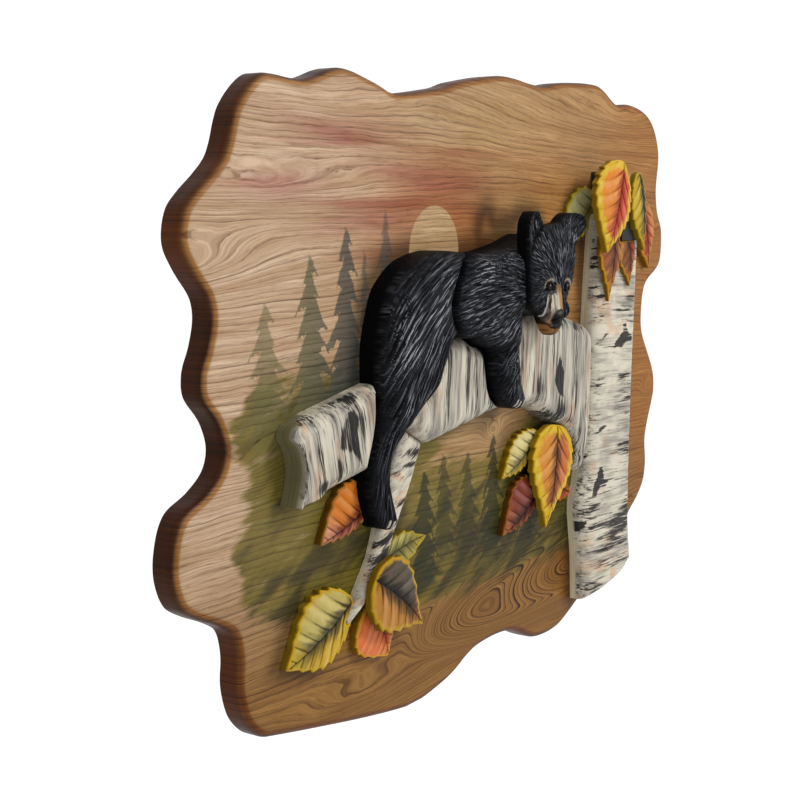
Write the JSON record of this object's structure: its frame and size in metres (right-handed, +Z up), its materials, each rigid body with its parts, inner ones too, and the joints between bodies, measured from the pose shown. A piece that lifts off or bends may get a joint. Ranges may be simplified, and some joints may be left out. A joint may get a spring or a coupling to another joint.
{
  "type": "wall plaque",
  "caption": "Scalloped wooden wall plaque: a black bear cub in carved relief lying over a birch branch, beside a birch trunk with autumn leaves, before painted firs and a pale sun.",
  "frame": {"origin": "middle of the board's flat back face, which lies on the wall", "axes": "+X to the right as seen from the front, +Y into the wall, +Z up; the carved front faces -Y"},
  "size_m": [0.7792, 0.073, 0.5337],
  "materials": {
    "stained_wood": "stained and satin varnished wood with a thin painted forest scene",
    "black_paint": "carved wood painted black with grey dry-brushed fur",
    "birch_paint": "wood painted as birch bark in cream with black and peach brush strokes",
    "riser_paint": "wood block painted black",
    "leaf_rust": "carved wood leaf painted in rust tones, satin",
    "leaf_olive": "carved wood leaf painted in olive tones, satin",
    "leaf_red": "carved wood leaf painted in red tones, satin",
    "leaf_brown": "carved wood leaf painted in brown tones, satin",
    "leaf_yellow": "carved wood leaf painted in yellow tones, satin",
    "leaf_cream": "carved wood leaf painted in cream tones, satin",
    "leaf_burgundy": "carved wood leaf painted in burgundy tones, satin",
    "leaf_golden": "carved wood leaf painted in golden tones, satin",
    "leaf_scarlet": "carved wood leaf painted in scarlet tones, satin",
    "leaf_amber": "carved wood leaf painted in amber tones, satin",
    "leaf_green": "carved wood leaf painted in green tones, satin"
  },
  "bodies": {
    "root": {"bear_far_paw": "black_paint", "bear_head": "black_paint", "bear_hindquarters": "black_paint", "bear_shoulders": "black_paint", "board": "stained_wood", "leaf_amber": "leaf_amber", "leaf_bent": "leaf_yellow", "leaf_brown": "leaf_brown", "leaf_burgundy": "leaf_burgundy", "leaf_cream": "leaf_cream", "leaf_far": "leaf_red", "leaf_golden": "leaf_golden", "leaf_green": "leaf_green", "leaf_olive": "leaf_olive", "leaf_red": "leaf_red", "leaf_riser": "riser_paint", "leaf_rust": "leaf_rust", "leaf_scarlet": "leaf_scarlet", "leaf_tip": "leaf_rust", "leaf_umber": "leaf_brown", "leaf_yellow": "leaf_yellow", "log_left": "birch_paint", "log_middle": "birch_paint", "log_right": "birch_paint", "trunk": "birch_paint", "twig": "birch_paint"}
  },
  "joints": []
}
